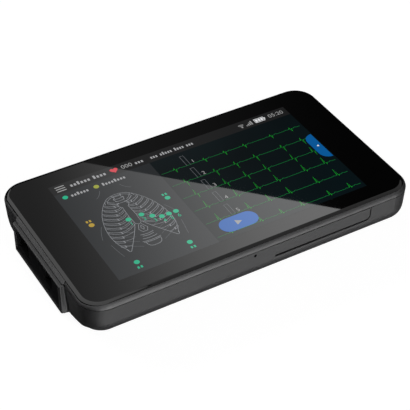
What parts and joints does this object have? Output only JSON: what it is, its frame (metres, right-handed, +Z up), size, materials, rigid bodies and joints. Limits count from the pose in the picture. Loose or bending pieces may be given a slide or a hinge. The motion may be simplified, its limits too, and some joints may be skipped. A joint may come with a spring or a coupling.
{
  "type": "ecg home monitor",
  "caption": "Handheld heart-trace monitor: dark rounded case with a full glass front over a wide display, lead sockets in a hood on one end, a hinged port cover and a power button.",
  "frame": {"origin": "middle of the footprint, on the surface the feet stand on", "axes": "+X along the case, away from the hood with the lead sockets; +Y across the case, away from the port cover; +Z up out of the screen"},
  "size_m": [0.1612, 0.0904, 0.0189],
  "materials": {
    "glass": "polished",
    "bonding_tape": "matt",
    "display": "smooth",
    "ribbon": "matt",
    "case_plastic": "fine grain",
    "seal_rubber": "matt",
    "chassis_metal": "rolled sheet",
    "socket_plastic": "smooth",
    "contact_metal": "plated",
    "circuit_board": "lacquered",
    "screw_steel": "machined",
    "shield_steel": "pressed",
    "chip_resin": "matt",
    "battery_foil": "foil",
    "button_plastic": "fine grain",
    "foot_rubber": "matt"
  },
  "bodies": {
    "case": {"cover_glass": "glass", "glass_adhesive": "bonding_tape", "display_module": "display", "display_flex": "ribbon", "front_frame": "case_plastic", "case_seal": "seal_rubber", "chassis_plate": "chassis_metal", "rear_shell": "case_plastic", "lead_socket_block": "socket_plastic", "lead_key_post": "socket_plastic", "lead_pins_wide": "contact_metal", "lead_pins_narrow": "contact_metal", "lead_board": "circuit_board", "lead_flex": "ribbon", "main_board": "circuit_board", "board_screws": "screw_steel", "shield_cans": "shield_steel", "board_chips": "chip_resin", "usb_socket": "shield_steel", "card_socket": "shield_steel", "microphone": "seal_rubber", "power_switch": "chip_resin", "battery_pad": "bonding_tape", "battery_pack": "battery_foil", "speaker": "chip_resin", "speaker_ring": "seal_rubber", "port_strap": "seal_rubber", "case_screws": "screw_steel", "rubber_feet": "foot_rubber"},
    "port_cover": {"port_cover": "case_plastic", "port_cover_pad": "seal_rubber"},
    "power_button": {"power_button": "button_plastic"}
  },
  "joints": [
    {"name": "port_cover_hinge", "type": "hinge", "parent": "case", "child": "port_cover", "pos_m": [0.00885, -0.04501, 0.013], "axis": [0, 0.0599, -0.9982], "range_deg": [0, 100]},
    {"name": "power_button_press", "type": "slide", "parent": "case", "child": "power_button", "axis": [0, -1, 0], "range_m": [0, 0.00025], "stiffness_N_per_m": 2000, "springref_m": -0.0005}
  ]
}
